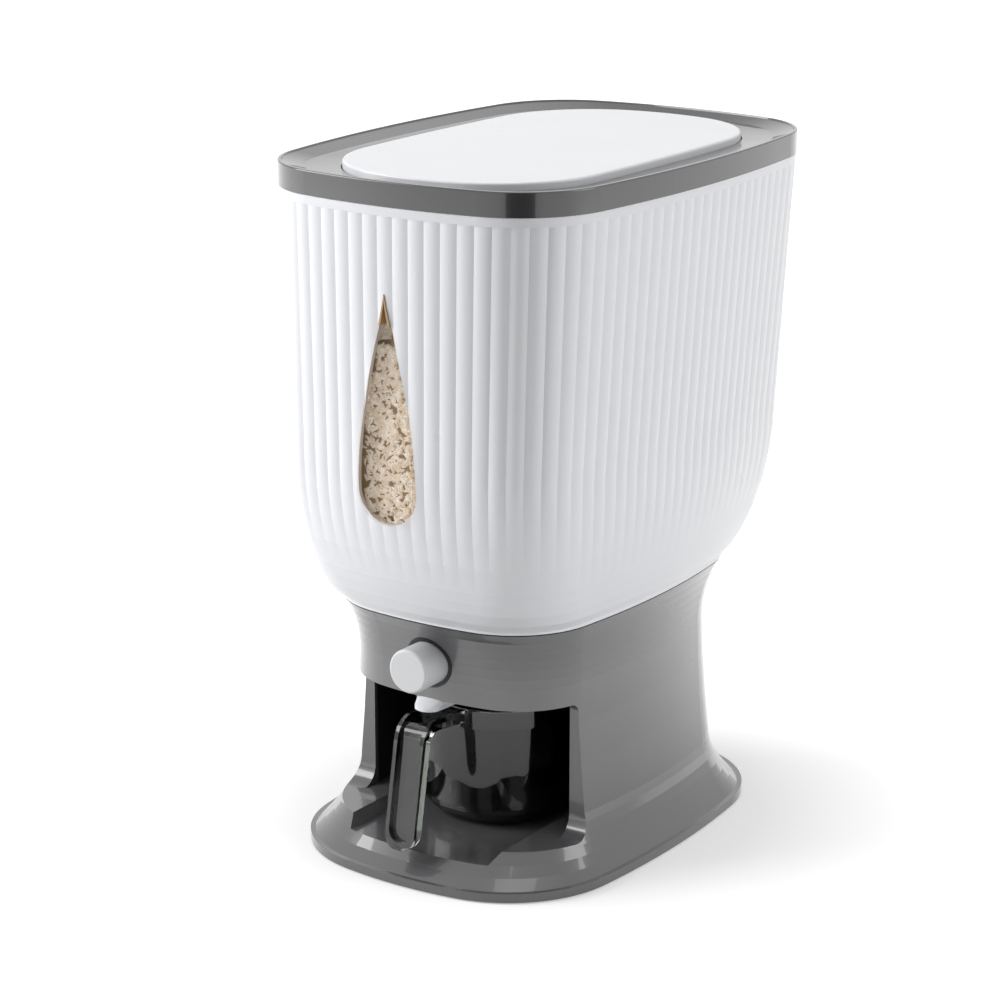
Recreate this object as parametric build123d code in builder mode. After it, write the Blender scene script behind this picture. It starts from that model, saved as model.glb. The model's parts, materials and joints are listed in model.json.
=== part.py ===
"""Countertop rice dispenser: a reeded hopper on a flared stand, with a measuring cup in its bay.

Millimetres, +Z up. The origin is on the table, under the middle of the top ring.
-Y is the front, where the window, the push button and the cup are.
"""
from build123d import *
from collections import namedtuple
from math import atan2, cos, degrees, pi, sin, sqrt
import os

os.makedirs("parts", exist_ok=True)


def save(builder, name):
    """Label a finished piece and write its STEP file."""
    builder.part.label = name
    export_step(builder.part, f"parts/{name}.step")


# ---------------------------------------------------------------- plans
# Every level of the body is a bowed rectangle: four shallow arcs with rounded corners.
Plan = namedtuple("Plan", "half_w half_d bow_w bow_d corner shift")

# Driving dimensions: plans of the body at its main levels
RING = Plan(108.3, 154.7, 12.8, 14.7, 56.0, 0.0)
BELLY = Plan(101.9, 148.6, 12.8, 14.7, 42.0, -6.1)
SEAM = Plan(84.4, 118.1, 11.5, 10.4, 52.0, -7.7)
NECK = Plan(78.8, 105.6, 11.5, 10.4, 47.0, -9.6)
FOOT = Plan(101.7, 136.7, 11.9, 17.4, 71.0, -12.9)
LID = Plan(79.0, 134.0, 4.0, 24.0, 66.0, 2.0)
CUP_RIM = Plan(49.0, 52.0, 1.5, 1.5, 46.0, -44.0)

# Driving dimensions: heights above the table
total_height = 400.0
ring_height = 13.6
belly_z = 239.0
seam_z = 149.4
seam_gap = 0.8
neck_z = 113.5
flare_z = 42.0
foot_z = 6.0
foot_clear = 0.8

# Driving dimensions: walls and clearances
hopper_wall = 2.6
base_wall = 2.8
slide_gap = 0.3
shaft_gap = 0.05
seat_gap = 0.15

# Driving dimensions: reeds of the hopper
reed_count = 92
reed_height = 0.8
reed_fade_z = 178.0
reed_step = 0.1
smooth_band = 5.0
ring_step = 0.3

# Driving dimensions: bay of the stand
bay_half_w = 68.0
bay_front_y = -76.0
bay_back_y = 14.0
bay_top_z = 101.5
bay_floor_z = 22.5
channel_z = 16.0
channel_half_w = 47.7
channel_slope = 4.5
channel_back_y = 8.0
liner_wall = 2.0
liner_corner = 12.0
bay_corner = 5.0
leg_foot_round = 12.0

# Driving dimensions: button and gate
button_z = 123.3
button_radius = 12.7
button_reach = 21.0
button_travel = 14.0
outlet_y = -66.0
outlet_w = 46.0
outlet_d = 12.5

# Driving dimensions: window
window_tip_z = 336.5
window_foot_z = 213.6
window_radius = 17.6
window_rim = 1.3

# Driving dimensions: lid and hinge
lid_top = total_height - 1.2
lid_depth = 7.4
lid_skin = 2.4
lid_gap = 0.8
hinge_inset = 3.4
hinge_pin_radius = 1.5
hinge_knuckle_radius = 2.1

# Driving dimensions: cup
cup_rim_z = 90.0
cup_wall = 2.2
cup_draft = 6.0
cup_foot_round = 12.0
handle_width = 20.0
handle_reach = 35.0
handle_foot_z = 20.0


def grow(plan, by):
    """The same plan with its wall moved outwards by this much."""
    return plan._replace(half_w=plan.half_w + by, half_d=plan.half_d + by, corner=plan.corner + by)


def blend(start, end, share):
    """A plan part of the way from one plan to another."""
    return Plan(*(a + (b - a) * share for a, b in zip(start, end)))


def outline(plan):
    """The bowed rectangle as a sketch: side arcs first, then rounded corners."""
    corner_x = plan.half_w - plan.bow_w
    corner_y = plan.half_d - plan.bow_d
    with BuildSketch() as sketch:
        with BuildLine():
            ThreePointArc((corner_x, -corner_y), (plan.half_w, 0), (corner_x, corner_y))
            ThreePointArc((corner_x, corner_y), (0, plan.half_d), (-corner_x, corner_y))
            ThreePointArc((-corner_x, corner_y), (-plan.half_w, 0), (-corner_x, -corner_y))
            ThreePointArc((-corner_x, -corner_y), (0, -plan.half_d), (corner_x, -corner_y))
        make_face()
        fillet(sketch.vertices(), plan.corner)
    return sketch.sketch.moved(Location((0, plan.shift, 0)))


def reeded_outline(plan, depth):
    """The plan with its edge divided into convex reeds, the first one centred on the front."""
    edge = outline(plan).faces()[0].outer_wire()
    front = edge.param_at_point((0, plan.shift - plan.half_d, 0))
    with BuildSketch() as sketch:
        with BuildLine():
            for i in range(reed_count):
                start = edge @ ((front + (i - 0.5) / reed_count) % 1)
                crest = edge @ ((front + i / reed_count) % 1)
                end = edge @ ((front + (i + 0.5) / reed_count) % 1)
                out = (end - start).cross(Vector(0, 0, 1)).normalized()
                if out.dot(crest - Vector(0, plan.shift, 0)) < 0:
                    out = -out
                ThreePointArc(start, crest + out * depth, end)
        make_face()
    return sketch.sketch


# ---------------------------------------------------------------- hopper
ring_z = total_height - ring_height
hopper_top = grow(RING, -ring_step)


def hopper_plan(z):
    """Plan of the hopper's wall: a slight draft, then a bowl that rounds in to the seam."""
    if z >= belly_z:
        return blend(BELLY, hopper_top, (z - belly_z) / (ring_z - belly_z))
    share = 0.958 * (belly_z - z) / (belly_z - seam_z)
    bowl = (1 - sqrt(1 - share**2)) / (1 - sqrt(1 - 0.958**2))
    return blend(BELLY, SEAM, bowl)


def reed_depth(z):
    """Full-height reeds down to the belly, then running out into the smooth bowl."""
    share = (z - reed_fade_z) / (belly_z - reed_fade_z)
    return reed_height * min(1.0, max(0.02, share))


def groove_plan(z):
    """Plan through the reeds' grooves, set in a hair where they run out into the bowl."""
    return grow(hopper_plan(z), -reed_height - (reed_step if z <= reed_fade_z else 0))


def levels(low, high, count):
    """Evenly spaced heights, both ends included."""
    return [low + (high - low) * i / (count - 1) for i in range(count)]


band_z = ring_z - smooth_band
bowl_levels = levels(seam_z, reed_fade_z, 5)
fading_levels = levels(reed_fade_z, belly_z, 5)

# The funnel hangs on a ledge that slopes up to the back
ledge_front_z = 205.0
ledge_back_z = 262.0
ledge_width = 1.6
ledge_angle = degrees(atan2(ledge_back_z - ledge_front_z, 2 * BELLY.half_d))
ledge_plane = Plane(
    origin=(0, BELLY.shift, (ledge_front_z + ledge_back_z) / 2),
    x_dir=(1, 0, 0),
    z_dir=(0, -sin(ledge_angle * pi / 180), cos(ledge_angle * pi / 180)),
)
hopper_floor = 3.0
cavity_levels = levels(seam_z + hopper_floor, belly_z, 9) + [ring_z]

with BuildPart() as wide_cavity:
    for z in cavity_levels:
        with BuildSketch(Plane.XY.offset(z)):
            add(outline(grow(hopper_plan(z), -hopper_wall)))
    loft(ruled=True)
    split(bisect_by=ledge_plane, keep=Keep.TOP)

with BuildPart() as narrow_cavity:
    for z in cavity_levels:
        with BuildSketch(Plane.XY.offset(z)):
            add(outline(grow(hopper_plan(z), -hopper_wall - ledge_width)))
    loft(ruled=True)
    split(bisect_by=ledge_plane, keep=Keep.BOTTOM)


def teardrop(by):
    """The window's outline, seen from the front, grown by this much."""
    radius = window_radius + by
    centre_z = window_foot_z + window_radius
    tip_z = window_tip_z + by * 2.5
    with BuildSketch() as sketch:
        with BuildLine():
            right = Bezier((0, tip_z), (3.0 + by, tip_z - 24), (radius, centre_z + 42), (radius, centre_z))
            RadiusArc(right @ 1, (0, centre_z - radius), radius)
            mirror(about=Plane.YZ)
        make_face()
    return sketch.sketch


front_plane = Plane(origin=(0, 0, 0), x_dir=(1, 0, 0), z_dir=(0, -1, 0))
window_front_y = BELLY.shift - BELLY.half_d - 0.5
window_pane_y = window_front_y + 7.8
throat_plan = Plan(outlet_w / 2 + 3.0, outlet_d / 2 + 3.0, 0.05, 0.05, 4.0, outlet_y)

with BuildPart() as hopper_shell:
    for z in bowl_levels:
        with BuildSketch(Plane.XY.offset(z)):
            add(outline(grow(hopper_plan(z), -reed_height)))
    loft(ruled=True)
    for z in fading_levels + [band_z]:
        with BuildSketch(Plane.XY.offset(z)):
            add(reeded_outline(groove_plan(z), reed_depth(z)))
    loft(ruled=True)
    with BuildSketch(Plane.XY.offset(band_z)):
        add(outline(grow(hopper_plan(band_z), reed_step)))
    extrude(amount=ring_z - band_z)
    with BuildSketch(Plane.XY.offset(seam_z)):
        add(outline(grow(SEAM, 0.4)))
    extrude(amount=smooth_band)
    add(wide_cavity.part, mode=Mode.SUBTRACT)
    add(narrow_cavity.part, mode=Mode.SUBTRACT)
    with BuildSketch(Plane.XY.offset(seam_z)):
        add(outline(grow(throat_plan, seat_gap)))
    extrude(amount=hopper_floor, mode=Mode.SUBTRACT)
    with BuildSketch(front_plane.offset(-window_front_y - 12)):
        add(teardrop(window_rim + seat_gap))
    extrude(amount=20, mode=Mode.SUBTRACT)
save(hopper_shell, "hopper_shell")

with BuildPart() as window_lens:
    with BuildSketch(front_plane.offset(-window_pane_y)):
        add(teardrop(window_rim))
    extrude(amount=window_pane_y - window_front_y)
    with BuildSketch(front_plane.offset(-window_pane_y)):
        add(teardrop(window_rim + 2.5))
    extrude(amount=0.9)
    with BuildSketch(front_plane.offset(-window_pane_y + 1.8)):
        add(teardrop(0))
    extrude(amount=12, mode=Mode.SUBTRACT)
save(window_lens, "window_lens")

# ---------------------------------------------------------------- funnel
funnel_wall = 2.2
throat_top_z = seam_z + 12.0
funnel_gap = 0.3
gate_thickness = 3.0
housing_wall = 3.0
housing_top_z = button_z + gate_thickness / 2 + slide_gap + housing_wall
housing_foot_z = button_z - gate_thickness / 2 - slide_gap - housing_wall
funnel_mouth = Plan(BELLY.half_w - 8, BELLY.half_d - 8, BELLY.bow_w, BELLY.bow_d, 34.0, 0.0)

with BuildPart() as inner_funnel:
    for z in cavity_levels:
        with BuildSketch(Plane.XY.offset(z)):
            add(outline(grow(hopper_plan(z), -hopper_wall - funnel_gap)))
    loft(ruled=True)
    split(bisect_by=ledge_plane, keep=Keep.TOP)
    split(bisect_by=ledge_plane.offset(funnel_wall), keep=Keep.BOTTOM)
    with BuildSketch(ledge_plane):
        add(outline(funnel_mouth))
    with BuildSketch(Plane.XY.offset(throat_top_z)):
        add(outline(throat_plan))
    loft(ruled=True)
    with BuildSketch(Plane.XY.offset(housing_top_z)):
        add(outline(throat_plan))
    extrude(amount=throat_top_z - housing_top_z)
    with BuildSketch(ledge_plane.offset(funnel_wall)):
        add(outline(grow(funnel_mouth, -funnel_wall)))
    with BuildSketch(Plane.XY.offset(throat_top_z)):
        add(outline(grow(throat_plan, -funnel_wall)))
    loft(ruled=True, mode=Mode.SUBTRACT)
    with BuildSketch(Plane.XY.offset(housing_top_z)):
        add(outline(grow(throat_plan, -funnel_wall)))
    extrude(amount=throat_top_z - housing_top_z, mode=Mode.SUBTRACT)
save(inner_funnel, "inner_funnel")

# ---------------------------------------------------------------- stand
base_top_z = seam_z - seam_gap
leg_taper = 4.2
deck_step = 2.7
deck_edge = grow(FOOT, -deck_step)
floor_skin_z = bay_floor_z - base_wall
channel_skin_z = channel_z - base_wall
jamb_back_y = bay_front_y + base_wall


def base_plan(z):
    """Plan of the stand: seam, waisted neck, slowly widening legs, then the flare to the foot."""
    if z >= neck_z:
        return blend(NECK, SEAM, (min(1.0, (z - neck_z) / (base_top_z - neck_z))) ** 2.2)
    leg = grow(NECK, leg_taper * min(1.0, (neck_z - z) / (neck_z - flare_z)) ** 1.6)
    if z >= flare_z:
        return leg
    return blend(leg, deck_edge, min(1.0, (flare_z - z) / (flare_z - foot_z)) ** 2)


flare_levels = levels(foot_z, flare_z, 8)
leg_levels = levels(flare_z, neck_z, 4)[1:]
waist_levels = levels(neck_z, base_top_z, 7)[1:]

with BuildPart() as base_core:
    for z in [0.0] + [z - base_wall for z in flare_levels + leg_levels + waist_levels] + [base_top_z]:
        with BuildSketch(Plane.XY.offset(z)):
            add(outline(grow(base_plan(z + base_wall), -base_wall)))
    loft(ruled=True)

whole = 500.0
with BuildPart() as base_hollow:
    add(base_core.part)
    with BuildSketch(Plane.XY.offset(floor_skin_z)):
        Rectangle(whole, whole)
    extrude(amount=base_wall, mode=Mode.SUBTRACT)
    with BuildSketch(Plane.XY.offset(channel_skin_z)):
        with Locations((0, channel_back_y + base_wall)):
            Rectangle(2 * (channel_half_w + channel_slope + base_wall), whole, align=(Align.CENTER, Align.MAX))
    extrude(amount=bay_floor_z - channel_skin_z, mode=Mode.SUBTRACT)
    with BuildSketch(Plane.XY.offset(bay_floor_z)):
        with Locations((bay_half_w, jamb_back_y)):
            Rectangle(whole, whole, align=(Align.MIN, Align.MAX))
        with Locations((-bay_half_w, jamb_back_y)):
            Rectangle(whole, whole, align=(Align.MAX, Align.MAX))
    extrude(amount=bay_top_z - bay_floor_z, mode=Mode.SUBTRACT)
    with BuildSketch(Plane.XY.offset(bay_top_z)):
        with Locations((0, jamb_back_y)):
            Rectangle(whole, whole, align=(Align.CENTER, Align.MAX))
    extrude(amount=base_wall, mode=Mode.SUBTRACT)

# Outlet spout: from the gate down and forward to a lip below the fascia
spout_wall = 2.0
spout_lip_z = 96.2
spout_lip = 2.0
spout_mouth = Plan(9.0, 29.0, 1.5, 4.0, 6.5, -95.0)
spout_neck = grow(throat_plan, -0.8)


def spout_plan(z):
    """Plan of the spout's outside at height z."""
    rise = housing_foot_z - spout_lip_z - spout_lip
    return blend(spout_mouth, spout_neck, max(0.0, (z - spout_lip_z - spout_lip) / rise))


with BuildPart() as outlet_spout:
    with BuildSketch(Plane.XY.offset(spout_lip_z)):
        add(outline(spout_mouth))
        add(outline(grow(spout_mouth, -spout_wall)), mode=Mode.SUBTRACT)
    extrude(amount=spout_lip)
    for z in (spout_lip_z + spout_lip, housing_foot_z):
        with BuildSketch(Plane.XY.offset(z)):
            add(outline(spout_plan(z)))
    loft(ruled=True)
    for z in (spout_lip_z + spout_lip, housing_foot_z):
        with BuildSketch(Plane.XY.offset(z)):
            add(outline(grow(spout_plan(z), -spout_wall)))
    loft(ruled=True, mode=Mode.SUBTRACT)
save(outlet_spout, "outlet_spout")

with BuildPart() as spout_space:
    for z in (spout_lip_z + spout_lip, housing_foot_z):
        with BuildSketch(Plane.XY.offset(z)):
            add(outline(grow(spout_plan(z), 0.8)))
    loft(ruled=True)

fascia_front_y = NECK.shift - NECK.half_d - 0.6
fascia_inner_y = fascia_front_y + base_wall
fascia_depth = -fascia_inner_y - 8.0
bezel_inner = button_radius + slide_gap
bezel_outer = bezel_inner + 2.0
bezel_proud = 0.4
foot_spots = [(x, y) for x in (-62, 62) for y in (-92, 76)]
screw_spots = [(x, y) for x in (-70, 70) for y in (-58, 58)]
screw_radius = 1.5
boss_radius = 4.0
plate_top_z = 4.0
plate_thickness = 2.0

with BuildPart() as base_shell:
    for z in flare_levels + leg_levels + waist_levels:
        with BuildSketch(Plane.XY.offset(z)):
            add(outline(base_plan(z)))
    loft(ruled=True)
    with BuildSketch(Plane.XY.offset(foot_clear)):
        add(outline(FOOT))
    extrude(amount=foot_z - foot_clear)
    add(base_hollow.part, mode=Mode.SUBTRACT)
    # Screw bosses under the floor
    with BuildSketch(Plane.XY.offset(plate_top_z)):
        with Locations(*screw_spots):
            Circle(boss_radius)
    extrude(amount=floor_skin_z - plate_top_z)
    # Bay mouth, seen from the side: legs set back under the fascia
    with BuildSketch(Plane.YZ) as bay_mouth:
        with BuildLine():
            Polyline(
                (-whole, bay_floor_z), (bay_front_y, bay_floor_z), (bay_front_y, bay_top_z), (-whole, bay_top_z),
                close=True,
            )
        make_face()
        fillet(bay_mouth.vertices().group_by(Axis.X)[-1].sort_by(Axis.Y)[-1], bay_corner)
        fillet(bay_mouth.vertices().group_by(Axis.X)[-1].sort_by(Axis.Y)[0], leg_foot_round)
    extrude(amount=whole, both=True, mode=Mode.SUBTRACT)
    # Channel that the cup slides in, with sloping sides
    with BuildSketch(Plane.XZ.offset(-channel_back_y)):
        with BuildLine():
            Polyline(
                (-channel_half_w, channel_z), (channel_half_w, channel_z),
                (channel_half_w + channel_slope, bay_floor_z + 1), (-channel_half_w - channel_slope, bay_floor_z + 1),
                close=True,
            )
        make_face()
    extrude(amount=whole, mode=Mode.SUBTRACT)
    # Button hole in the fascia
    with BuildSketch(front_plane.offset(fascia_depth)):
        with Locations((0, button_z)):
            Circle(bezel_outer + seat_gap)
    extrude(amount=whole, mode=Mode.SUBTRACT)
    # Spout slot in the shelf behind the fascia
    add(spout_space.part, mode=Mode.SUBTRACT)
    with BuildSketch(Plane.XY.offset(plate_top_z)):
        with Locations(*screw_spots):
            Circle(screw_radius + shaft_gap)
    extrude(amount=8, mode=Mode.SUBTRACT)
save(base_shell, "base_shell")

with BuildPart() as bay_liner:
    with BuildSketch(Plane.XY.offset(bay_floor_z)) as liner_plan:
        with Locations((0, jamb_back_y + slide_gap)):
            Rectangle(
                2 * (bay_half_w + liner_wall), bay_back_y + liner_wall - jamb_back_y - slide_gap,
                align=(Align.CENTER, Align.MIN),
            )
        fillet(liner_plan.vertices().group_by(Axis.Y)[-1], liner_corner + liner_wall)
    extrude(amount=bay_top_z + 0.5 + liner_wall - bay_floor_z)
    with BuildSketch(Plane.XY.offset(bay_floor_z)) as liner_space:
        with Locations((0, bay_back_y)):
            Rectangle(2 * bay_half_w, whole, align=(Align.CENTER, Align.MAX))
        fillet(liner_space.vertices().group_by(Axis.Y)[-1], liner_corner)
    extrude(amount=bay_top_z + 0.5 - bay_floor_z, mode=Mode.SUBTRACT)
    add(spout_space.part, mode=Mode.SUBTRACT)
save(bay_liner, "bay_liner")

deck_flange = 1.6
deck_thickness = 2.6
with BuildPart() as base_deck:
    with BuildSketch(Plane.XY.offset(base_top_z)):
        add(outline(grow(SEAM, -deck_flange)))
    extrude(amount=seam_gap)
    with BuildSketch(Plane.XY.offset(base_top_z - deck_thickness)):
        add(outline(grow(SEAM, -base_wall - 2 * slide_gap)))
    extrude(amount=deck_thickness)
    with BuildSketch(Plane.XY.offset(base_top_z - deck_thickness)):
        add(outline(grow(throat_plan, seat_gap)))
    extrude(amount=deck_thickness + seam_gap, mode=Mode.SUBTRACT)
save(base_deck, "base_deck")

with BuildPart() as bottom_plate:
    with BuildSketch(Plane.XY.offset(plate_top_z - plate_thickness)):
        add(outline(grow(deck_edge, -base_wall - 2.0)))
        with Locations(*screw_spots):
            Circle(screw_radius + shaft_gap, mode=Mode.SUBTRACT)
    extrude(amount=plate_thickness)
save(bottom_plate, "bottom_plate")

for number, spot in enumerate(foot_spots, 1):
    with BuildPart() as rubber_foot:
        with BuildSketch():
            with Locations(spot):
                Circle(9)
        extrude(amount=plate_top_z - plate_thickness)
        chamfer(rubber_foot.edges().group_by(Axis.Z)[0], 0.5)
    save(rubber_foot, f"rubber_foot_{number}")

for number, spot in enumerate(screw_spots, 1):
    with BuildPart() as base_screw:
        with BuildSketch(Plane.XY.offset(plate_top_z - plate_thickness)):
            with Locations(spot):
                Circle(screw_radius)
        extrude(amount=9)
        with BuildSketch(Plane.XY.offset(plate_top_z - plate_thickness)):
            with Locations(spot):
                Circle(2 * screw_radius)
        extrude(amount=-1.2)
    save(base_screw, f"base_screw_{number}")

# ---------------------------------------------------------------- button and gate
gate_half_w = outlet_w / 2 + 7.0
gate_front_y = outlet_y - button_travel - outlet_d / 2 - 4.0
gate_back_y = outlet_y + outlet_d / 2 + 6.0
housing_front_y = gate_front_y - 4.5
housing_back_y = gate_back_y + button_travel + 2.0
stem_half_w = 4.0
post_spots = [(x, y) for x in (-27, 27) for y in (housing_front_y + 6, housing_back_y - 6)]
button_face_y = fascia_front_y - button_reach
button_web = 2.6
button_bore = button_radius - 2.2
collar_radius = button_radius + 1.2
collar_front_y = fascia_inner_y + 0.6
collar_back_y = collar_front_y + 1.2

with BuildPart() as gate_housing:
    with BuildSketch(Plane.XY.offset(housing_foot_z)):
        with Locations((0, housing_front_y)):
            Rectangle(
                2 * (gate_half_w + slide_gap + housing_wall), housing_back_y - housing_front_y,
                align=(Align.CENTER, Align.MIN),
            )
    extrude(amount=housing_top_z - housing_foot_z)
    with BuildSketch(Plane.XY.offset(housing_top_z)):
        with Locations(*post_spots):
            Circle(3.5)
    extrude(amount=base_top_z - deck_thickness - housing_top_z)
    with BuildSketch(Plane.XY.offset(button_z - gate_thickness / 2 - slide_gap)):
        with Locations((0, gate_front_y - 1.5)):
            Rectangle(2 * (gate_half_w + slide_gap), whole, align=(Align.CENTER, Align.MIN))
        with Locations((0, outlet_y)):
            Rectangle(2 * (stem_half_w + slide_gap), whole, align=(Align.CENTER, Align.MAX))
    extrude(amount=gate_thickness + 2 * slide_gap, mode=Mode.SUBTRACT)
    with BuildSketch(Plane.XY.offset(housing_foot_z)):
        with Locations((0, outlet_y)):
            RectangleRounded(outlet_w, outlet_d, 3)
    extrude(amount=housing_top_z - housing_foot_z, mode=Mode.SUBTRACT)
save(gate_housing, "gate_housing")

with BuildPart() as gate_plate:
    with BuildSketch(Plane.XY.offset(button_z - gate_thickness / 2)):
        with Locations((0, gate_front_y)):
            Rectangle(2 * gate_half_w, gate_back_y - gate_front_y, align=(Align.CENTER, Align.MIN))
        with Locations((0, outlet_y - button_travel)):
            RectangleRounded(outlet_w, outlet_d, 3, mode=Mode.SUBTRACT)
    extrude(amount=gate_thickness)
save(gate_plate, "gate_plate")

with BuildPart() as push_stem:
    with BuildSketch(Plane.XY.offset(button_z - gate_thickness / 2)):
        with Locations((0, gate_front_y)):
            Rectangle(2 * stem_half_w, gate_front_y - button_face_y - button_web, align=(Align.CENTER, Align.MAX))
    extrude(amount=gate_thickness)
save(push_stem, "push_stem")

with BuildPart() as button_cap:
    with BuildSketch(front_plane.offset(-collar_back_y)):
        with Locations((0, button_z)):
            Circle(button_radius)
    extrude(amount=collar_back_y - button_face_y)
    fillet(button_cap.edges().sort_by(Axis.Y)[0], 1.6)
    with BuildSketch(front_plane.offset(-collar_back_y)):
        with Locations((0, button_z)):
            Circle(collar_radius)
    extrude(amount=collar_back_y - collar_front_y)
    with BuildSketch(front_plane.offset(-collar_back_y)):
        with Locations((0, button_z)):
            Circle(button_bore)
    extrude(amount=collar_back_y - button_face_y - button_web, mode=Mode.SUBTRACT)
save(button_cap, "button_cap")

with BuildPart() as button_bezel:
    for z in [button_z - 20.0, neck_z] + waist_levels:
        with BuildSketch(Plane.XY.offset(z)):
            add(outline(grow(base_plan(z), bezel_proud)))
    loft(ruled=True)
    with BuildSketch(front_plane.offset(-collar_front_y + slide_gap)):
        with Locations((0, button_z)):
            Circle(bezel_outer)
            Circle(bezel_inner, mode=Mode.SUBTRACT)
    extrude(amount=whole, mode=Mode.INTERSECT)
save(button_bezel, "button_bezel")

spring_radius = 8.5
spring_wire = 1.2
with BuildPart() as return_spring:
    with BuildSketch(front_plane.offset(-housing_front_y + slide_gap)):
        with Locations((0, button_z)):
            Circle(spring_radius)
            Circle(spring_radius - spring_wire, mode=Mode.SUBTRACT)
    extrude(amount=housing_front_y - button_face_y - button_web - 2 * slide_gap)
save(return_spring, "return_spring")

# ---------------------------------------------------------------- top ring and lid
lid_foot_z = lid_top - lid_depth
ledge_z = lid_foot_z - 1.4
mouth_inset = 9.0
ring_skin = 2.2
spigot_depth = 8.0
spigot_plan = grow(hopper_plan(ring_z - spigot_depth), -hopper_wall - slide_gap)
mouth_plan = grow(LID, -mouth_inset)
recess_plan = grow(LID, lid_gap)
dish_z = lid_top - 4.4
lip_width = 2.2
scoop_half_w = 20.0
scoop_reach = 11.0
hinge_y = LID.shift + LID.half_d - hinge_inset
hinge_z = lid_top - hinge_knuckle_radius - 0.8
lug_x = 11.0
lug_width = 4.0
pin_half = lug_x + 5.0
notch_front_y = hinge_y - 3.9
hinge_plane = Plane.YZ

with BuildPart() as top_ring:
    with BuildSketch(Plane.XY.offset(ring_z)):
        add(outline(RING))
    extrude(amount=ring_height)
    fillet(top_ring.edges().group_by(Axis.Z)[-1], 0.8)
    with BuildSketch(Plane.XY.offset(ring_z - spigot_depth)):
        add(outline(spigot_plan))
    extrude(amount=spigot_depth)
    # Hollow underside between the spigot and the mouth's collar
    with BuildSketch(Plane.XY.offset(ring_z - spigot_depth)):
        add(outline(grow(spigot_plan, -ring_skin)))
        add(outline(grow(mouth_plan, ring_skin)), mode=Mode.SUBTRACT)
    extrude(amount=ledge_z - ring_skin - ring_z + spigot_depth, mode=Mode.SUBTRACT)
    # Dished top that falls from the rim to the lid
    with BuildSketch(Plane.XY.offset(dish_z)):
        add(outline(grow(recess_plan, 0.6)))
    with BuildSketch(Plane.XY.offset(dish_z + 1.4)):
        add(outline(blend(recess_plan, grow(RING, -lip_width), 0.62)))
    with BuildSketch(Plane.XY.offset(total_height - 0.9)):
        add(outline(grow(RING, -lip_width)))
    with BuildSketch(Plane.XY.offset(total_height + 1)):
        add(outline(grow(RING, -lip_width + 0.9)))
    loft(ruled=True, mode=Mode.SUBTRACT)
    with BuildSketch(Plane.XY.offset(ledge_z)):
        add(outline(recess_plan))
    extrude(amount=ring_height, mode=Mode.SUBTRACT)
    with BuildSketch(Plane.XY.offset(ring_z - spigot_depth)):
        add(outline(mouth_plan))
    extrude(amount=ring_height + spigot_depth, mode=Mode.SUBTRACT)
    # Hinge lugs
    for side in (-1, 1):
        with BuildSketch(hinge_plane.offset(side * lug_x - lug_width / 2)):
            with Locations((hinge_y, ledge_z)):
                Rectangle(2 * hinge_knuckle_radius, hinge_z - ledge_z, align=(Align.CENTER, Align.MIN))
            with Locations((hinge_y, hinge_z)):
                Circle(hinge_knuckle_radius)
        extrude(amount=lug_width)
    with BuildSketch(hinge_plane.offset(-lug_x - lug_width)):
        with Locations((hinge_y, hinge_z)):
            Circle(hinge_pin_radius + shaft_gap)
    extrude(amount=2 * lug_x + 2 * lug_width, mode=Mode.SUBTRACT)
    # Finger scoop in front of the lid
    with BuildSketch(Plane.XY.offset(ledge_z)):
        with Locations((0, LID.shift - LID.half_d)):
            Ellipse(scoop_half_w, scoop_reach)
    extrude(amount=ring_height, mode=Mode.SUBTRACT)
save(top_ring, "top_ring")

hinge_block_half = 22.0
hinge_block_y = hinge_y - 6.0
with BuildPart() as lid_cover:
    with BuildSketch(Plane.XY.offset(lid_foot_z)):
        add(outline(LID))
    extrude(amount=lid_depth)
    fillet(lid_cover.edges().group_by(Axis.Z)[-1], 1.4)
    with BuildSketch(Plane.XY.offset(lid_foot_z)):
        add(outline(grow(LID, -lid_skin)))
        with Locations((0, hinge_block_y)):
            Rectangle(2 * hinge_block_half, whole, align=(Align.CENTER, Align.MIN), mode=Mode.SUBTRACT)
    extrude(amount=lid_depth - lid_skin, mode=Mode.SUBTRACT)
    for side in (-1, 1):
        with BuildSketch(Plane.XY.offset(lid_foot_z)):
            with Locations((side * lug_x, notch_front_y)):
                Rectangle(lug_width + 2 * slide_gap, whole, align=(Align.CENTER, Align.MIN))
        extrude(amount=hinge_z + hinge_knuckle_radius + 0.2 - lid_foot_z, mode=Mode.SUBTRACT)
    with BuildSketch(hinge_plane.offset(-pin_half - slide_gap)):
        with Locations((hinge_y, hinge_z)):
            Circle(hinge_pin_radius + shaft_gap)
    extrude(amount=2 * pin_half + 2 * slide_gap, mode=Mode.SUBTRACT)
save(lid_cover, "lid_cover")

with BuildPart() as hinge_pin:
    with BuildSketch(hinge_plane.offset(-pin_half)):
        with Locations((hinge_y, hinge_z)):
            Circle(hinge_pin_radius)
    extrude(amount=2 * pin_half)
save(hinge_pin, "hinge_pin")

plug_depth = 5.4
plug_plan = grow(mouth_plan, -2.0)
liner_top_z = lid_top - lid_skin
with BuildPart() as lid_liner:
    with BuildSketch(Plane.XY.offset(liner_top_z - 1.8)):
        add(outline(grow(LID, -lid_skin - seat_gap)))
        with Locations((0, hinge_block_y - seat_gap)):
            Rectangle(whole, whole, align=(Align.CENTER, Align.MIN), mode=Mode.SUBTRACT)
    extrude(amount=1.8)
    with BuildSketch(Plane.XY.offset(lid_foot_z - plug_depth)):
        add(outline(plug_plan))
    extrude(amount=plug_depth + lid_depth - lid_skin - 1.8)
    with BuildSketch(Plane.XY.offset(lid_foot_z - plug_depth)):
        add(outline(grow(plug_plan, -1.8)))
    extrude(amount=plug_depth + lid_depth - lid_skin - 3.6, mode=Mode.SUBTRACT)
save(lid_liner, "lid_liner")

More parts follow.
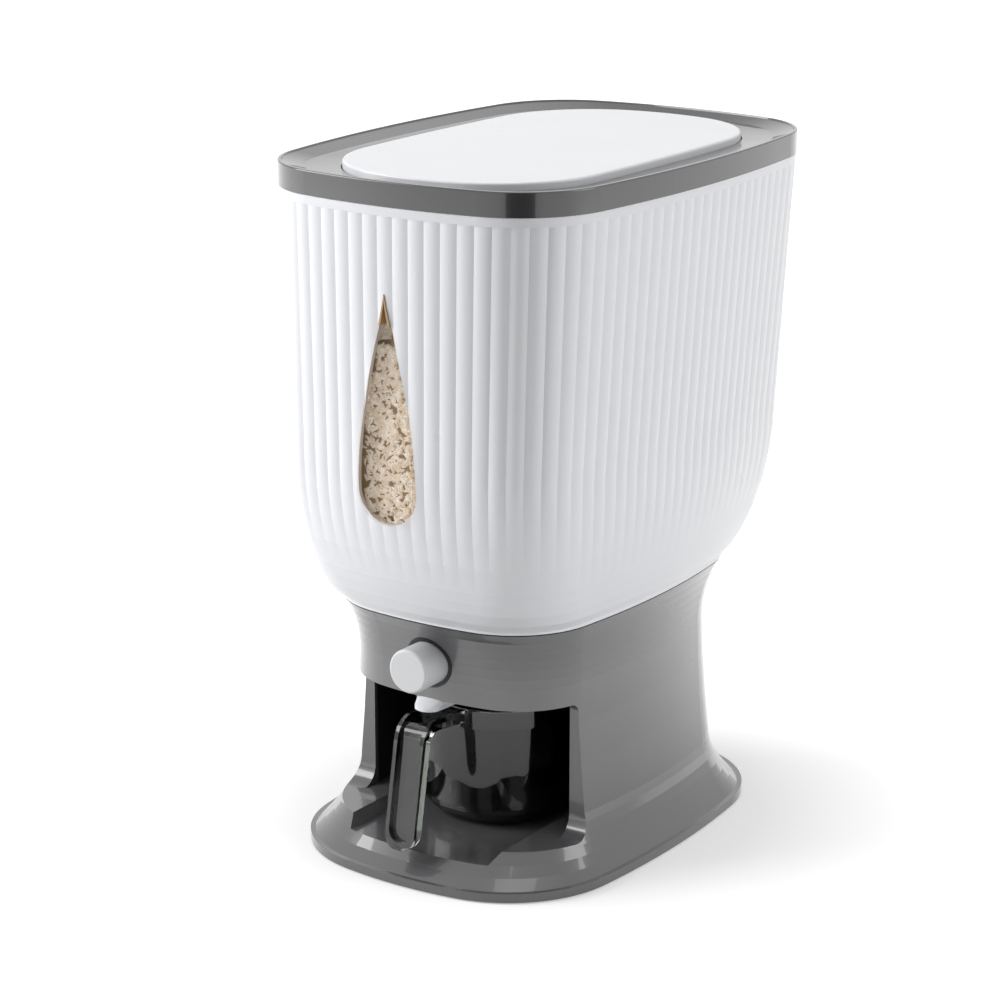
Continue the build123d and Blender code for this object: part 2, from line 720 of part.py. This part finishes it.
seal_z = lid_foot_z - plug_depth + 2.0
with BuildPart() as lid_seal:
    with BuildSketch(Plane.XY.offset(seal_z)):
        add(outline(grow(mouth_plan, -slide_gap)))
        add(outline(grow(plug_plan, 0.1)), mode=Mode.SUBTRACT)
    extrude(amount=2.0)
save(lid_seal, "lid_seal")

# ---------------------------------------------------------------- measuring cup
cup_foot_z = channel_z + slide_gap
cup_step = 1.2
collar_height = 10.5


def cup_plan(z):
    """Plan of the cup's body: drafted walls with a rounded foot."""
    inset = cup_step + cup_draft * (cup_rim_z - z) / (cup_rim_z - cup_foot_z)
    rise = max(0.0, cup_foot_z + cup_foot_round - z)
    return grow(CUP_RIM, -inset - cup_foot_round + sqrt(cup_foot_round**2 - rise**2))


foot_angles = [pi / 2 * step / 6 for step in range(7)]
cup_levels = [cup_foot_z + cup_foot_round * (1 - cos(angle)) for angle in foot_angles] + [cup_rim_z]
cup_front_y = CUP_RIM.shift - CUP_RIM.half_d
handle_depth = 7.0
handle_rail = 2.4
handle_path = [
    (cup_front_y + 1.5, cup_rim_z - handle_depth / 2),
    (cup_front_y - handle_reach, cup_rim_z + 1.0),
    (cup_front_y - handle_reach - 13.0, handle_foot_z),
]
groove_path = [(y - handle_depth / 2, z + (handle_depth / 2 if z > cup_rim_z / 2 else 0)) for y, z in handle_path]


def handle_bar(path, width, foot_z):
    """A bar along a side-view path, with a round end as seen from the front."""
    with BuildPart() as bar:
        with BuildSketch(Plane.YZ):
            with BuildLine():
                FilletPolyline(*path, radius=11)
            trace(line_width=handle_depth)
        extrude(amount=width / 2, both=True)
        with BuildSketch(front_plane):
            with Locations((0, foot_z + width / 2)):
                Circle(width / 2)
                Rectangle(width, whole, align=(Align.CENTER, Align.MIN))
        extrude(amount=whole, both=True, mode=Mode.INTERSECT)
    return bar.part


with BuildPart() as measuring_cup:
    for z in cup_levels:
        with BuildSketch(Plane.XY.offset(z)):
            add(outline(cup_plan(z)))
    loft(ruled=True)
    with BuildSketch(Plane.XY.offset(cup_rim_z - collar_height)):
        add(outline(CUP_RIM))
    extrude(amount=collar_height)
    add(handle_bar(handle_path, handle_width, handle_foot_z))
    add(handle_bar(groove_path, handle_width - 2 * handle_rail, handle_foot_z + 2 * handle_rail), mode=Mode.SUBTRACT)
    for z in cup_levels:
        with BuildSketch(Plane.XY.offset(z + cup_wall)):
            add(outline(grow(cup_plan(z), -cup_wall)))
    loft(ruled=True, mode=Mode.SUBTRACT)
save(measuring_cup, "measuring_cup")
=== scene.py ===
# %% [markdown]
# A countertop rice dispenser, dressed for its portrait.
# The solids come ready made in one shared frame: metres, +Z up, the front towards -Y.
# Each cell below adds one finish, one small piece or one lamp. Loading the frame comes first,
# because every later size is read from it.

import json
from math import cos, pi, radians, sin, sqrt
from random import Random

import bmesh
import bpy
from mathutils import Euler, Matrix, Vector
from mathutils.bvhtree import BVHTree


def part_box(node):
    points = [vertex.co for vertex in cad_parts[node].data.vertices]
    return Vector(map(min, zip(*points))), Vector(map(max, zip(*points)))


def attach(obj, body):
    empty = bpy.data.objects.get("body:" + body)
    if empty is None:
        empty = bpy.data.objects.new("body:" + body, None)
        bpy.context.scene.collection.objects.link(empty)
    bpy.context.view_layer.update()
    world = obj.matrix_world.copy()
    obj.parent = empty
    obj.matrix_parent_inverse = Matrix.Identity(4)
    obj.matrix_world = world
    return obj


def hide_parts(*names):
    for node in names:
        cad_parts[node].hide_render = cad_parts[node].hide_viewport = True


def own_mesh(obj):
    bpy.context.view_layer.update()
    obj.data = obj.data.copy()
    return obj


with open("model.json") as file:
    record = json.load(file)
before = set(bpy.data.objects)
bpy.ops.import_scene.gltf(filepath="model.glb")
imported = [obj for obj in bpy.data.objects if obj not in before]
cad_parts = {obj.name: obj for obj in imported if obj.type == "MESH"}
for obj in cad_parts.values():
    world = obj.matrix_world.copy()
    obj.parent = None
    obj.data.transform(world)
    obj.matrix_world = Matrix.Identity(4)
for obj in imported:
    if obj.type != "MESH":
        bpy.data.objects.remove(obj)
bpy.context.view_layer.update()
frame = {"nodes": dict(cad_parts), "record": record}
nodes = frame["nodes"]
scene = bpy.context.scene
mm = 0.001

# %% [markdown]
# Finishes are written as sRGB hex, the way a paint chart gives them, while the renderer mixes
# light in linear values. One function turns the first into the second.
# Every material below is a small net of nodes, so a second function adds a node, sets what is
# fixed and links what varies.

# %% Colour and node helpers


def linear(hex_colour):
    """An sRGB hex colour as linear red, green, blue and alpha."""
    parts = [int(hex_colour[i:i + 2], 16) / 255 for i in (1, 3, 5)]
    return [p / 12.92 if p <= 0.04045 else ((p + 0.055) / 1.055) ** 2.4 for p in parts] + [1.0]


def node(tree, kind, inputs={}, **settings):
    """Adds one shader node. inputs maps a socket to a value, or to the socket that feeds it."""
    made = tree.nodes.new("ShaderNode" + kind)
    for name, value in settings.items():
        setattr(made, name, value)
    for socket, value in inputs.items():
        if isinstance(value, bpy.types.NodeSocket):
            tree.links.new(value, made.inputs[socket])
        else:
            made.inputs[socket].default_value = value
    return made


def material(name):
    """A new material with its node tree, its shader and the object's own coordinates in metres."""
    made = bpy.data.materials.new(name)
    made.use_nodes = True
    tree = made.node_tree
    place = node(tree, "TexCoord").outputs["Object"]
    return made, tree, tree.nodes["Principled BSDF"], place


def per_metre(size_mm):
    """The noise scale whose features are about this many millimetres across."""
    return 1000 / size_mm


print("white in linear values:", linear("#ffffff"))

# %% [markdown]
# Most of the dispenser is injection-moulded plastic. The steel tool gives the skin its polish,
# and no moulded wall is quite flat. Two noises are enough for all of them: a fine one for the
# tool's texture, and a broad one, 45 mm across, for the slight waviness of a thin wall.
# A real tool's texture is finer than a millimetre. It is drawn at about 1 mm, because anything
# finer doesn't show.

# %% Moulded plastic
wave_mm = 45
wave_depth = 0.3 * mm


def moulded_plastic(name, colour, shade, roughness, texture_mm, depth_mm, ior=1.53, coat=0.0):
    """A moulded thermoplastic: near-even colour, a varying polish and a fine skin texture."""
    made, tree, shader, place = material(name)
    broad = node(tree, "TexNoise", {"Vector": place, "Scale": per_metre(wave_mm), "Detail": 3.0})
    fine = node(tree, "TexNoise", {"Vector": place, "Scale": per_metre(texture_mm), "Detail": 2.0})
    tint = node(tree, "Mix", {"Factor": broad.outputs["Fac"], "A": linear(colour), "B": linear(shade)},
                data_type="RGBA")
    tree.links.new(tint.outputs["Result"], shader.inputs["Base Color"])
    polish = node(tree, "MapRange", {"Value": broad.outputs["Fac"], "To Min": roughness * 0.8,
                                     "To Max": roughness * 1.2})
    tree.links.new(polish.outputs["Result"], shader.inputs["Roughness"])
    wavy = node(tree, "Bump", {"Height": broad.outputs["Fac"], "Strength": 0.25, "Distance": wave_depth})
    skin = node(tree, "Bump", {"Height": fine.outputs["Fac"], "Strength": 0.5, "Distance": depth_mm * mm,
                               "Normal": wavy.outputs["Normal"]})
    tree.links.new(skin.outputs["Normal"], shader.inputs["Normal"])
    shader.inputs["IOR"].default_value = ior
    shader.inputs["Coat Weight"].default_value = coat
    return made


print("moulded walls wave by", wave_depth, "m over", wave_mm, "mm")

# %% [markdown]
# The hopper, lid and spout are white ABS from a polished tool: a cool white with soft highlights.
# The button is greyer and duller, because fingers rub it. The stand and the ring on top are ABS
# from a mirror-bright tool. A clear coat gives these two the sharp reflection that lies over the
# softer one. The ring is the stand's plastic, made darker as painted shade.

# %% Outer ABS
white_abs = moulded_plastic("White ABS", "#f3f4f7", "#f0f1f5", 0.3, 1.2, 0.006)
button_abs = moulded_plastic("Button ABS", "#e2e3e4", "#dcddde", 0.42, 1.0, 0.02)
grey_abs = moulded_plastic("Grey gloss ABS", "#5f5f61", "#5b5b5d", 0.22, 1.5, 0.004, coat=0.8)
# Painted shade: the ring gets a darker copy of the stand's grey gloss ABS.
ring_painted_shade_abs = moulded_plastic("Grey gloss ABS in painted shade", "#404042", "#3d3d3f", 0.22, 1.5, 0.004, coat=0.7)
print("outer finishes:", white_abs.name, button_abs.name, grey_abs.name, ring_painted_shade_abs.name)

# %% [markdown]
# Inner pieces that nobody polishes are polypropylene, which looks waxier and duller than ABS.
# The bay's liner and the ring round the button are black ABS with a spark-eroded grain, which
# kills reflections. The deck and the bottom plate are the same in dark grey.

# %% Inner plastics
natural_pp = moulded_plastic("Natural polypropylene", "#e9e8e2", "#e2e1da", 0.5, 0.9, 0.02, ior=1.49)
black_abs = moulded_plastic("Black grained ABS", "#0c0c0d", "#111112", 0.55, 0.8, 0.04)
dark_abs = moulded_plastic("Dark grained ABS", "#2a2a2b", "#303031", 0.6, 0.8, 0.04)
print("inner finishes:", natural_pp.name, black_abs.name, dark_abs.name)

# %% [markdown]
# The window is amber-tinted polycarbonate. Only a film of it lies between the eye and the rice,
# so it is drawn as a see-through skin with alpha, which also lets light through to the rice.
# Alpha rises where the tip starts, so the tip shows nearly solid amber tan: painted light, standing in for the
# hopper's far inside wall, lit through its thin white shell.

# %% Amber polycarbonate
tip_start = 0.3225
tip_full = 0.3230
amber_pc, tree, shader, place = material("Amber polycarbonate")
cloud = node(tree, "TexNoise", {"Vector": place, "Scale": per_metre(30), "Detail": 2.0})
tint = node(tree, "Mix", {"Factor": cloud.outputs["Fac"], "A": linear("#cbaa80"), "B": linear("#c29f74")},
            data_type="RGBA")
tree.links.new(tint.outputs["Result"], shader.inputs["Base Color"])
polish = node(tree, "MapRange", {"Value": cloud.outputs["Fac"], "To Min": 0.08, "To Max": 0.16})
tree.links.new(polish.outputs["Result"], shader.inputs["Roughness"])
# Painted light: above tip_start the pane turns nearly opaque, in place of the lit far wall behind it.
height = node(tree, "SeparateXYZ", {"Vector": place})
tip_painted_light = node(tree, "MapRange", {"Value": height.outputs["Z"], "From Min": tip_start, "From Max": tip_full,
                                "To Min": 0.12, "To Max": 0.8})
tree.links.new(tip_painted_light.outputs["Result"], shader.inputs["Alpha"])
shader.inputs["IOR"].default_value = 1.58
print("window finish:", amber_pc.name)

# %% [markdown]
# The cup is smoke-tinted SAN, moulded clear and bright. Its walls refract, so this finish uses
# true transmission; the tint darkens with every wall the eye looks through.

# %% Smoky SAN
smoky_san, tree, shader, place = material("Smoky SAN")
flow = node(tree, "TexNoise", {"Vector": place, "Scale": per_metre(25), "Detail": 2.0})
tint = node(tree, "Mix", {"Factor": flow.outputs["Fac"], "A": linear("#6d706c"), "B": linear("#646763")},
            data_type="RGBA")
tree.links.new(tint.outputs["Result"], shader.inputs["Base Color"])
polish = node(tree, "MapRange", {"Value": flow.outputs["Fac"], "To Min": 0.02, "To Max": 0.06})
tree.links.new(polish.outputs["Result"], shader.inputs["Roughness"])
shader.inputs["Transmission Weight"].default_value = 1.0
shader.inputs["IOR"].default_value = 1.57
print("cup finish:", smoky_san.name)

# %% [markdown]
# Rubber feet, the silicone seal and the small steel parts hardly show, but they get their own
# finishes: matt rubber with a coarse grain, and steel with fine lines from drawing or turning.
# Real drawing lines are finer than the quarter of a millimetre used here, and wouldn't show.

# %% Rubber and steel
foot_rubber = moulded_plastic("Foot rubber", "#141414", "#1b1b1b", 0.8, 0.7, 0.06, ior=1.5)
seal_silicone = moulded_plastic("Seal silicone", "#c9cac8", "#c1c2c0", 0.6, 0.8, 0.02, ior=1.43)
drawn_steel, tree, shader, place = material("Drawn steel")
squeezed = node(tree, "Mapping", {"Vector": place, "Scale": (0.06, 1.0, 1.0)})
lines = node(tree, "TexNoise", {"Vector": squeezed.outputs["Vector"], "Scale": per_metre(0.25), "Detail": 3.0})
polish = node(tree, "MapRange", {"Value": lines.outputs["Fac"], "To Min": 0.22, "To Max": 0.42})
tree.links.new(polish.outputs["Result"], shader.inputs["Roughness"])
scratch = node(tree, "Bump", {"Height": lines.outputs["Fac"], "Strength": 0.4, "Distance": 0.02 * mm})
tree.links.new(scratch.outputs["Normal"], shader.inputs["Normal"])
shader.inputs["Base Color"].default_value = linear("#b9babb")
shader.inputs["Metallic"].default_value = 1.0
print("small finishes:", foot_rubber.name, seal_silicone.name, drawn_steel.name)

# %% [markdown]
# The solids are meshed with flat faces, and a curved wall needs smooth shading to look curved.
# Smoothing everything would blur the real edges too, so a small modifier smooths only the edges
# that turn by less than 28 degrees. A modifier leaves the mesh itself as it came.

# %% Smooth shading
smooth_below = radians(28)
smoother = bpy.data.node_groups.new("Smooth but for edges", "GeometryNodeTree")
smoother.is_modifier = True
smoother.interface.new_socket("Geometry", in_out="INPUT", socket_type="NodeSocketGeometry")
smoother.interface.new_socket("Geometry", in_out="OUTPUT", socket_type="NodeSocketGeometry")
way_in = smoother.nodes.new("NodeGroupInput")
way_out = smoother.nodes.new("NodeGroupOutput")
angle = smoother.nodes.new("GeometryNodeInputMeshEdgeAngle")
gentle = smoother.nodes.new("FunctionNodeCompare")
gentle.operation = "LESS_THAN"
gentle.inputs["B"].default_value = smooth_below
faces_smooth = smoother.nodes.new("GeometryNodeSetShadeSmooth")
edges_smooth = smoother.nodes.new("GeometryNodeSetShadeSmooth")
edges_smooth.domain = "EDGE"
smoother.links.new(way_in.outputs["Geometry"], faces_smooth.inputs["Geometry"])
smoother.links.new(faces_smooth.outputs["Geometry"], edges_smooth.inputs["Geometry"])
smoother.links.new(angle.outputs["Unsigned Angle"], gentle.inputs["A"])
smoother.links.new(gentle.outputs["Result"], edges_smooth.inputs["Shade Smooth"])
smoother.links.new(edges_smooth.outputs["Geometry"], way_out.inputs["Geometry"])
print("smoothing has", len(smoother.nodes), "nodes")

# %% [markdown]
# The record names a material slot for each solid, and each slot has a finish. The button and the ring
# share a slot with pieces of another shade, so they are listed by name; the ring's darker grey is painted
# shade.

# %% Dress the solids
finish_of_slot = {
    "grey_shell": grey_abs,
    "white_shell": white_abs,
    "amber_window": amber_pc,
    "inner_white": natural_pp,
    "black_liner": black_abs,
    "smoky_cup": smoky_san,
    "dark_plate": dark_abs,
    "seal_rubber": seal_silicone,
    "foot_rubber": foot_rubber,
    "spring_steel": drawn_steel,
    "screw_steel": drawn_steel,
}
# The ring's finish is the darker copy of the stand's grey, painted shade.
finish_of_piece = {"button_cap": button_abs, "top_ring": ring_painted_shade_abs}
slot_of = {part["node"]: part["material_slot"] for part in frame["record"]["subparts"]}


def dress(name, finish):
    """Gives a solid its finish and smooth shading."""
    piece = nodes[name]
    piece.data.materials.clear()
    piece.data.materials.append(finish)
    piece.modifiers.new("Smooth", "NODES").node_group = smoother


for name in nodes:
    dress(name, finish_of_piece.get(name, finish_of_slot[slot_of[name]]))
print("dressed", len(nodes), "solids")

# %% [markdown]
# The window shows rice. It isn't part of the product, but an empty window would look wrong, so
# a bed of rice fills the funnel and the hopper up to where the photograph shows its top.
# The bed has to follow the hidden inside walls. Rays are shot outwards from the throat's axis,
# level by level, and each one stops at the first wall it meets, so no wall's size is typed twice.
# The bed keeps 4.5 mm off the walls, which leaves room for loose grains behind the window.

# %% Measure the inside of the hopper
rice_top = 0.311
rice_foot = 0.166
wall_gap = 4.5 * mm
throat_axis = Vector((0, -0.066, 0))
walls = []
for name in ("hopper_shell", "window_lens", "inner_funnel"):
    mesh = nodes[name].data
    spots = [nodes[name].matrix_world @ v.co for v in mesh.vertices]
    walls.append(BVHTree.FromPolygons(spots, [list(f.vertices) for f in mesh.polygons]))


def inside_reach(z, turn):
    """Distance from the throat's axis to the nearest wall at this height and direction."""
    start = throat_axis + Vector((0, 0, z))
    hits = [wall.ray_cast(start, Vector((cos(turn), sin(turn), 0)))[3] for wall in walls]
    return min(hit for hit in hits if hit is not None) - wall_gap


def on_ring(z, turn, share=1.0):
    """A point at this height, a share of the way from the axis to the wall."""
    outwards = Vector((cos(turn), sin(turn), 0))
    return throat_axis + outwards * inside_reach(z, turn) * share + Vector((0, 0, z))


print("width of the bed's top:", round(inside_reach(rice_top, 0) + inside_reach(rice_top, pi), 4))

# %% [markdown]
# Polished rice is a waxy, slightly translucent white with a warm cast, so it gets a little
# scattering under its skin. One noise as long as a grain tints the heap, so that neighbouring
# grains differ. It is stretched first, because noise seldom strays far from a half. Daylight also
# reaches the rice through the hopper's thin white wall, and a faint glow stands in for it.
# The bed behind the loose grains is what shows in the gaps, so it has a finish for shaded rice.

# %% Polished rice
white_rice, tree, shader, place = material("Polished rice")
husk = node(tree, "TexNoise", {"Vector": place, "Scale": per_metre(4), "Detail": 2.0})
varied = node(tree, "MapRange", {"Value": husk.outputs["Fac"], "To Min": -0.6, "To Max": 1.6})
tint = node(tree, "Mix", {"Factor": varied.outputs["Result"], "A": linear("#fbf7f0"), "B": linear("#ddd0be")},
            data_type="RGBA")
tree.links.new(tint.outputs["Result"], shader.inputs["Base Color"])
tree.links.new(tint.outputs["Result"], shader.inputs["Emission Color"])
shader.inputs["Emission Strength"].default_value = 0.25
polish = node(tree, "MapRange", {"Value": husk.outputs["Fac"], "To Min": 0.3, "To Max": 0.5})
tree.links.new(polish.outputs["Result"], shader.inputs["Roughness"])
shader.inputs["Subsurface Weight"].default_value = 0.15
shader.inputs["Subsurface Radius"].default_value = (1.0, 0.8, 0.6)
shader.inputs["Subsurface Scale"].default_value = 1.0 * mm
shaded_rice = moulded_plastic("Rice in shade", "#b5a48a", "#a08c70", 0.7, 2.0, 0.5)
print("rice finishes:", white_rice.name, shaded_rice.name)

# %% [markdown]
# The bed is one closed mesh: 19 rings of points from the throat up, then four smaller rings over
# the top, joined by faces. The top is nearly level, with shallow waves that die out towards the
# window, where the photograph shows a straight line.

# %% Rice bed
ring_points = 72
ring_steps = 18
top_shares = (0.85, 0.65, 0.45, 0.25)
wave_height = 2.2 * mm
level_until_y = -0.12
level_fade = 0.05


def new_piece(name, finish, body, points, faces):
    """A mesh object from points and faces, which rides on a body."""
    mesh = bpy.data.meshes.new(name)
    mesh.from_pydata(points, [], faces)
    made = bpy.data.objects.new(name, mesh)
    scene.collection.objects.link(made)
    mesh.materials.append(finish)
    mesh.shade_smooth()
    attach(made, body)
    return made


def heap(spot):
    """How far the rice's surface lies above its level at this spot."""
    calm = min(1.0, max(0.0, spot.y - level_until_y) / level_fade)
    return wave_height * sin(spot.x / 0.021 + 1) * cos(spot.y / 0.027) * calm


turns = [2 * pi * i / ring_points for i in range(ring_points)]
levels = [rice_foot + (rice_top - rice_foot) * i / ring_steps for i in range(ring_steps + 1)]
bed_points = [on_ring(z, turn) for z in levels for turn in turns]
for share in top_shares:
    spots = [on_ring(rice_top, turn, share) for turn in turns]
    bed_points.extend(spot + Vector((0, 0, heap(spot))) for spot in spots)
last_ring = len(bed_points) - ring_points
bed_faces = [range(ring_points - 1, -1, -1), range(last_ring, len(bed_points))]
for low in range(0, last_ring, ring_points):
    high = low + ring_points
    for i in range(ring_points):
        j = (i + 1) % ring_points
        bed_faces.append((low + i, low + j, high + j, high + i))
rice_bed = new_piece("rice_bed", shaded_rice, "body", bed_points, bed_faces)
print("rice bed:", len(rice_bed.data.polygons), "faces")

# %% [markdown]
# Loose grains lie where the eye comes close: pressed flat behind the window, and tumbled over
# the heap for when the lid is open. A grain is a small ball stretched to a rounded rod, about
# 5 mm long and under 2 mm thick. All grains share one mesh, built from copies of one ball's
# points, which is much quicker than making thousands of balls. The seed keeps them in place.

# %% Rice grains
chance = Random(7)
grain_size = Vector((5.2, 1.8, 1.7)) * mm / 2
window_low, window_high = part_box("window_lens")
window_count = 1400
heap_count = 4200
window_gap_mm = (1.3, 3.2)
heap_depth_mm = (0.0, 1.2)
heap_reach = 0.93
tilt = 0.3
lean = 0.2

ball = bmesh.new()
bmesh.ops.create_icosphere(ball, subdivisions=1, radius=1.0)
ball_points = [v.co.copy() for v in ball.verts]
ball_faces = [[v.index for v in f.verts] for f in ball.faces]
ball.free()
grain_points = []
grain_faces = []


def add_grain(spot, turn):
    """One grain of rice, centred on a spot: the ball's points, stretched, turned and moved."""
    shape = Matrix.LocRotScale(spot, turn, grain_size * chance.uniform(0.85, 1.1))
    first = len(grain_points)
    grain_points.extend(shape @ point for point in ball_points)
    grain_faces.extend([first + i for i in face] for face in ball_faces)


for _ in range(window_count):
    across = chance.uniform(window_low.x, window_high.x)
    spot = Vector((across, 0, chance.uniform(window_low.z, rice_top - 1.5 * mm)))
    spot.y = window_high.y + chance.uniform(*window_gap_mm) * mm
    add_grain(spot, Euler((chance.uniform(-tilt, tilt), chance.uniform(0, pi), chance.uniform(-lean, lean))))
for _ in range(heap_count):
    spot = on_ring(rice_top, chance.uniform(0, 2 * pi), sqrt(chance.uniform(0.0, heap_reach)))
    spot.z += heap(spot) + chance.uniform(*heap_depth_mm) * mm
    add_grain(spot, Euler((chance.uniform(-tilt, tilt), chance.uniform(-tilt, tilt), chance.uniform(0, pi))))
rice_grains = new_piece("rice_grains", white_rice, "body", grain_points, grain_faces)
print("rice:", window_count + heap_count, "grains,", len(rice_grains.data.polygons), "faces")

# %% [markdown]
# The return spring is a plain sleeve in the frame. The real one is a coil of round wire with
# closed ends, so a curve is swept along a helix whose pitch shrinks at both ends, and the result
# is kept as a mesh. It rides on the button.

# %% Return spring
spring_low, spring_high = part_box("return_spring")
spring_middle = (spring_high + spring_low) / 2
spring_length = spring_high.y - spring_low.y
wire_radius = 0.6 * mm
coil_radius = (spring_high.x - spring_low.x) / 2 - wire_radius
coil_turns = 9
closed_turns = 0.9
closed_pitch = 1.1 * wire_radius
points_per_turn = 16
coil_steps = coil_turns * points_per_turn
open_length = spring_length - 2 * wire_radius - 2 * closed_pitch

wire = bpy.data.curves.new("bent_wire", "CURVE")
wire.dimensions = "3D"
wire.bevel_depth = wire_radius
wire.bevel_resolution = 3
wire.use_fill_caps = True
helix = wire.splines.new("NURBS")
helix.points.add(coil_steps)
for step in range(coil_steps + 1):
    done = step / points_per_turn
    turn = 2 * pi * done
    opened = min(1.0, max(0.0, (done - closed_turns) / (coil_turns - 2 * closed_turns)))
    along = spring_low.y + wire_radius + closed_pitch * min(1.0, done) + opened * open_length
    helix.points[step].co = (coil_radius * cos(turn), along, spring_middle.z + coil_radius * sin(turn), 1)
helix.order_u = 4
helix.use_endpoint_u = True
bent_wire = bpy.data.objects.new("bent_wire", wire)
scene.collection.objects.link(bent_wire)
swept = bpy.data.meshes.new_from_object(bent_wire.evaluated_get(bpy.context.evaluated_depsgraph_get()))
bpy.data.objects.remove(bent_wire)
coil_points = [v.co for v in swept.vertices]
coil_faces = [list(f.vertices) for f in swept.polygons]
coil = new_piece("return_coil", drawn_steel, "gate", coil_points, coil_faces)
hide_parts("return_spring")
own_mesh(coil)
print("spring:", coil_turns, "turns,", len(coil.data.polygons), "faces")

# %% [markdown]
# The camera stands where the photographer stood: right of the front and above the lid. It was
# found by matching the corners of the ring, seam and foot, so its numbers stay as they are.
# The match gives the focal length in pixels of a square picture, and the lens wants millimetres.

# %% Camera
camera_azimuth = radians(34.11)
camera_height = radians(16.24)
camera_distance = 1.70585
look_at = Vector((-0.0164, -0.02069, 0.1915))
picture_width = 1001
focal_pixels = 2936.43
lens = bpy.data.cameras.new("Camera")
lens.sensor_width = 36.0
lens.lens = focal_pixels / picture_width * lens.sensor_width
lens.clip_end = 20.0
camera = bpy.data.objects.new("Camera", lens)
level_reach = cos(camera_height)
away = Vector((sin(camera_azimuth) * level_reach, -cos(camera_azimuth) * level_reach, sin(camera_height)))
camera.location = look_at + away * camera_distance
camera.rotation_euler = away.to_track_quat("Z", "Y").to_euler()
scene.collection.objects.link(camera)
scene.camera = camera
print("camera at", [round(v, 3) for v in camera.location])

# %% [markdown]
# The studio starts with white paper under the product. To the eye and in reflections the paper
# is pure white, except near the foot, where it keeps the shadow. Light path tells the material
# which ray is asking, so this white adds nothing to the light that falls on the product.

# %% Floor


def stage_piece(name, points, faces, finish):
    """A mesh that belongs to the studio and not to the product."""
    mesh = bpy.data.meshes.new(name)
    mesh.from_pydata(points, [], faces)
    mesh.materials.append(finish)
    made = bpy.data.objects.new(name, mesh)
    scene.collection.objects.link(made)
    return made


def looked_at(tree):
    """1 for a ray that shows this surface to the eye, directly, in gloss or through glass."""
    path = node(tree, "LightPath")
    rays = {0: path.outputs["Is Camera Ray"], 1: path.outputs["Is Glossy Ray"]}
    either = node(tree, "Math", rays, operation="MAXIMUM")
    rays = {0: either.outputs["Value"], 1: path.outputs["Is Transmission Ray"]}
    return node(tree, "Math", rays, operation="MAXIMUM").outputs["Value"]


floor_reach = 6.0
shadow_from = 0.13
shadow_until = 0.42
paper, tree, shader, place = material("White paper")
fibre = node(tree, "TexNoise", {"Vector": place, "Scale": per_metre(3), "Detail": 2.0})
tint = node(tree, "Mix", {"Factor": fibre.outputs["Fac"], "A": linear("#e2e2e2"), "B": linear("#dedede")},
            data_type="RGBA")
tree.links.new(tint.outputs["Result"], shader.inputs["Base Color"])
shader.inputs["Roughness"].default_value = 0.9
from_middle = node(tree, "VectorMath", {0: place}, operation="LENGTH")
white = node(tree, "MapRange", {"Value": from_middle.outputs["Value"], "From Min": shadow_from,
                                "From Max": shadow_until, "To Min": 0.35, "To Max": 1.0})
glow = node(tree, "Math", {0: looked_at(tree), 1: white.outputs["Result"]}, operation="MULTIPLY")
shader.inputs["Emission Color"].default_value = (1, 1, 1, 1)
tree.links.new(glow.outputs["Value"], shader.inputs["Emission Strength"])
floor_corners = [(x * floor_reach, y * floor_reach, 0) for x, y in ((-1, -1), (1, -1), (1, 1), (-1, 1))]
stage_piece("Floor", floor_corners, [(0, 1, 2, 3)], paper)
print("floor:", 2 * floor_reach, "m wide")

# %% [markdown]
# Behind the paper is a white world. It shows at full strength, but lights the product at less
# than a third of it, so that the lamps can shape the reeds.

# %% World
ambient = 0.3
world = bpy.data.worlds.new("World")
scene.world = world
world.use_nodes = True
tree = world.node_tree
strength = node(tree, "MapRange", {"Value": looked_at(tree), "To Min": ambient, "To Max": 1.0})
tree.links.new(strength.outputs["Result"], tree.nodes["Background"].inputs["Strength"])
tree.nodes["Background"].inputs["Color"].default_value = (1, 1, 1, 1)
scene.view_settings.view_transform = "Standard"
print("the world lights the product at", ambient)

# %% [markdown]
# Three softboxes. The key stands far to the left, so that it rakes across the reeds of the
# front. The side one lights the right face from a little behind, and the top one lights the lid.
# Both are weak.

# %% Lamps


def softbox(name, place, aim, size, watts):
    """A white rectangular lamp at place, pointing at aim."""
    lamp = bpy.data.lights.new(name, "AREA")
    lamp.shape = "RECTANGLE"
    lamp.size, lamp.size_y = size
    lamp.energy = watts
    made = bpy.data.objects.new(name, lamp)
    made.location = place
    made.rotation_euler = (Vector(place) - Vector(aim)).to_track_quat("Z", "Y").to_euler()
    scene.collection.objects.link(made)


middle = (0, 0, 0.22)
softbox("Key", (-1.75, -1.25, 1.2), middle, (1.4, 1.6), 44)
softbox("Side", (1.9, 0.5, 0.85), middle, (1.0, 1.4), 13)
softbox("Top", (0.1, 0.2, 2.0), middle, (1.4, 1.4), 9)
print("three lamps")

# %% [markdown]
# The photograph's front corner is darker than both faces beside it. In a studio this comes from
# a black card. It lies on the paper from just outside the picture to behind the camera, and is
# folded up there. It takes light away from the corner and gives the gloss something dark to
# mirror. It is hidden from the camera, so that it stays out of other views as well.

# %% Black card
card_near = 0.85
card_far = 1.9
near_half = 0.3
far_half = 0.5
card_top = 1.6
card_lift = 2 * mm
felt, tree, shader, place = material("Black card")
fibre = node(tree, "TexNoise", {"Vector": place, "Scale": per_metre(2), "Detail": 2.0})
tint = node(tree, "Mix", {"Factor": fibre.outputs["Fac"], "A": linear("#101010"), "B": linear("#161616")},
            data_type="RGBA")
tree.links.new(tint.outputs["Result"], shader.inputs["Base Color"])
shader.inputs["Roughness"].default_value = 0.9
near_edge = [(-near_half, card_near, card_lift), (near_half, card_near, card_lift)]
fold = [(far_half, card_far, card_lift), (-far_half, card_far, card_lift)]
top_edge = [(far_half, card_far, card_top), (-far_half, card_far, card_top)]
card = stage_piece("Card", near_edge + fold + top_edge, [(0, 1, 2, 3), (3, 2, 4, 5)], felt)
card.rotation_euler = (0, 0, camera_azimuth + pi)
card.visible_camera = False
print("the card starts", card_near, "m from the middle")
